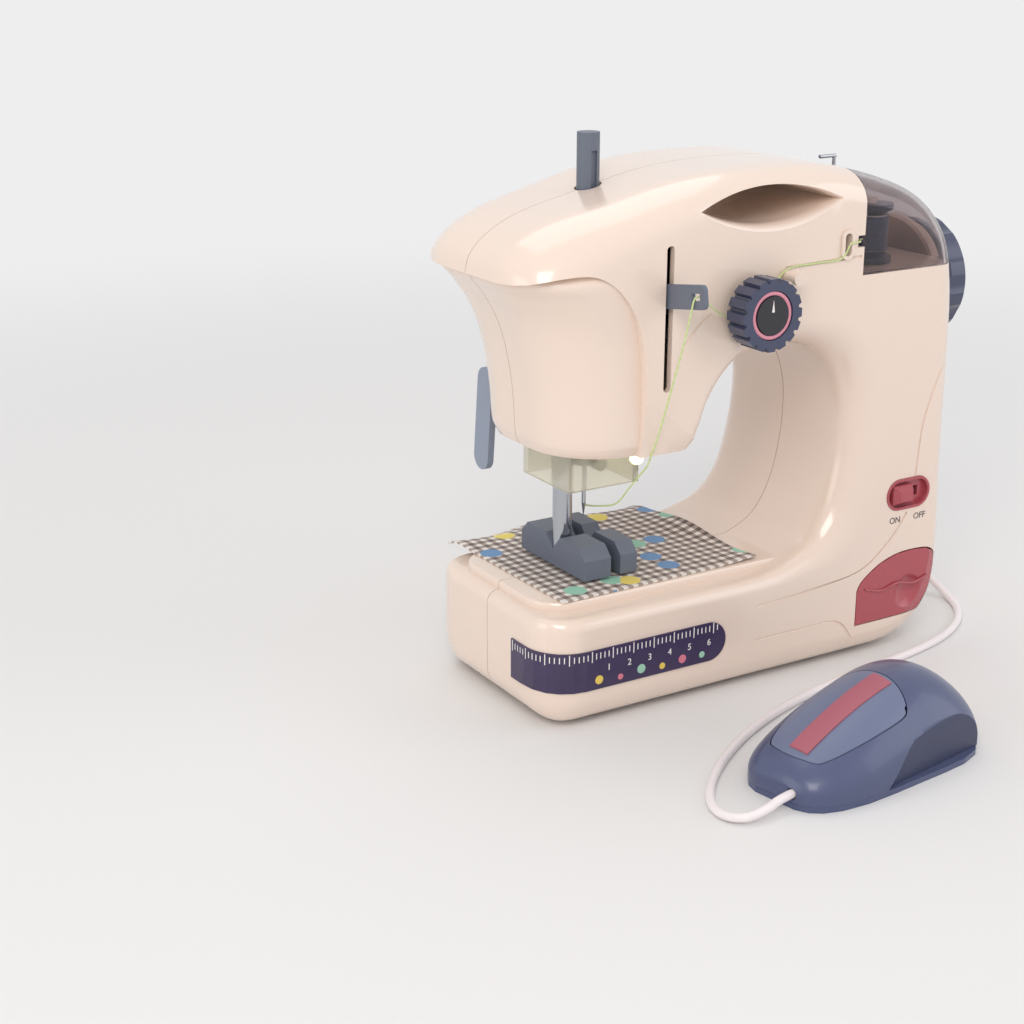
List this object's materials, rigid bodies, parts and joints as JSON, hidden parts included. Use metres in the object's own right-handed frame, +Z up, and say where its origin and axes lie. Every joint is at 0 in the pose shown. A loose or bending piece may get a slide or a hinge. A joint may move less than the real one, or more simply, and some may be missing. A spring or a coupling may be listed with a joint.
{
  "type": "toy sewing machine",
  "caption": "Moulded toy sewing machine with an open throat, needle drive, tension dial, spool under a clear cover, drawer, and a corded foot pedal.",
  "frame": {"origin": "middle of the machine's base, on the table it stands on", "axes": "+X towards the handwheel, -Y towards the child, +Z up"},
  "size_m": [0.2201, 0.1801, 0.1976],
  "materials": {
    "cream": "moulded cream plastic, glossy",
    "navy": "moulded navy plastic",
    "dark_grey": "dark grey plastic",
    "lifter_grey": "blue-grey plastic",
    "red": "muted red plastic",
    "steel": "plain steel",
    "chrome": "chromed steel",
    "brass": "brass",
    "smoked": "smoked clear plastic",
    "clear": "milky clear plastic",
    "black": "black plastic",
    "inner": "dark inner plastic",
    "label": "printed dark purple label",
    "thread": "sewing thread",
    "cloth": "checked cotton cloth",
    "cord_white": "white flexible cord",
    "foot_rubber": "soft foot",
    "pedal_navy": "moulded blue-navy plastic",
    "pedal_grey": "blue-grey plastic",
    "rose": "rose plastic strip"
  },
  "bodies": {
    "machine": {"front_shell": "cream", "rear_shell": "cream", "battery_door": "cream", "spool_pin": "cream", "thread_peg": "cream", "thread_slot": "cream", "collar": "cream", "drawer_runner": "cream", "rubber_feet": "foot_rubber", "needle_plate": "steel", "cover_pin": "steel", "tension_stud": "steel", "tension_discs": "steel", "lever_bracket": "steel", "presser_spring": "steel", "lifter_pin": "steel", "motor": "steel", "shell_screws": "steel", "treadle_pin": "steel", "pedal_spring": "steel", "battery_tray": "inner", "upper_guide": "inner", "lower_guide": "inner", "shaft_bearing": "inner", "motor_cradle": "inner", "switch_body": "inner", "needle_shroud": "clear", "work_light": "clear", "switch_frame": "red", "ruler_strip": "label", "sample_cloth": "cloth", "cord_gland": "cord_white", "cord": "cord_white", "pedal_housing": "pedal_navy", "pedal_base": "pedal_navy"},
    "drive_line": {"handwheel": "navy", "main_shaft": "steel", "crank_disc": "steel", "drive_gear": "cream"},
    "pinion": {"motor_pinion": "brass"},
    "needle_carriage": {"needle_bar": "dark_grey", "needle_yoke": "steel", "needle_clamp": "chrome", "clamp_screw": "chrome", "needle": "chrome"},
    "take_up": {"take_up_lever": "dark_grey"},
    "lifter": {"lifter_lever": "lifter_grey"},
    "presser": {"presser_bar": "chrome", "presser_foot": "dark_grey"},
    "tension": {"tension_dial": "navy", "dial_cap": "black"},
    "cover": {"spool_cover": "smoked", "wire_guide": "steel"},
    "spool": {"thread_spool": "navy", "thread_winding": "thread"},
    "switch_knob": {"light_switch": "red"},
    "drawer_tray": {"drawer": "red"},
    "treadle_plate": {"treadle": "pedal_grey", "treadle_stripe": "rose"}
  },
  "joints": [
    {"name": "handwheel_turn", "type": "hinge", "parent": "machine", "child": "drive_line", "pos_m": [0.09, 0, 0.134], "axis": [1, 0, 0], "continuous": true},
    {"name": "motor_turn", "type": "hinge", "parent": "machine", "child": "pinion", "pos_m": [0.0365, 0.01202, 0.12198], "axis": [1, 0, 0], "continuous": true},
    {"name": "needle_drop", "type": "slide", "parent": "machine", "child": "needle_carriage", "axis": [0, 0, -1], "range_m": [0, 0.018]},
    {"name": "take_up_rock", "type": "hinge", "parent": "machine", "child": "take_up", "pos_m": [-0.04235, 0.02, 0.13854], "axis": [1, 0, 0], "range_deg": [0, 17]},
    {"name": "lifter_swing", "type": "hinge", "parent": "machine", "child": "lifter", "pos_m": [-0.0686, 0.008, 0.104], "axis": [1, 0, 0], "range_deg": [0, 60]},
    {"name": "foot_raise", "type": "slide", "parent": "machine", "child": "presser", "axis": [0, 0, 1], "range_m": [0, 0.006], "deforming": ["presser_spring"]},
    {"name": "tension_turn", "type": "hinge", "parent": "machine", "child": "tension", "pos_m": [-0.0089, -0.0424, 0.14], "axis": [0, -1, 0], "range_deg": [-150, 150]},
    {"name": "cover_open", "type": "hinge", "parent": "machine", "child": "cover", "pos_m": [0.0614, 0.03628, 0.14984], "axis": [-1, 0, 0], "range_deg": [0, 80]},
    {"name": "spool_spin", "type": "hinge", "parent": "machine", "child": "spool", "pos_m": [0.06052, -0.01968, 0.157], "axis": [0, 0, 1], "continuous": true},
    {"name": "switch_slide", "type": "slide", "parent": "machine", "child": "switch_knob", "axis": [1, 0, 0], "range_m": [0, 0.006]},
    {"name": "drawer_slide", "type": "slide", "parent": "machine", "child": "drawer_tray", "axis": [0, -1, 0], "range_m": [0, 0.035]},
    {"name": "treadle_press", "type": "hinge", "parent": "machine", "child": "treadle_plate", "pos_m": [-0.00486, -0.10627, 0.0224], "axis": [0.1736, -0.9848, 0], "range_deg": [0, 5], "stiffness_Nm_per_rad": 4, "springref_deg": -3.44, "deforming": ["pedal_spring"]}
  ],
  "couplings": [
    {"joint": "motor_turn", "follows": "handwheel_turn", "ratio": -3.25},
    {"joint": "take_up_rock", "follows": "needle_drop", "rad_per_m": 16.484},
    {"joint": "lifter_swing", "follows": "foot_raise", "rad_per_m": 174.53}
  ]
}
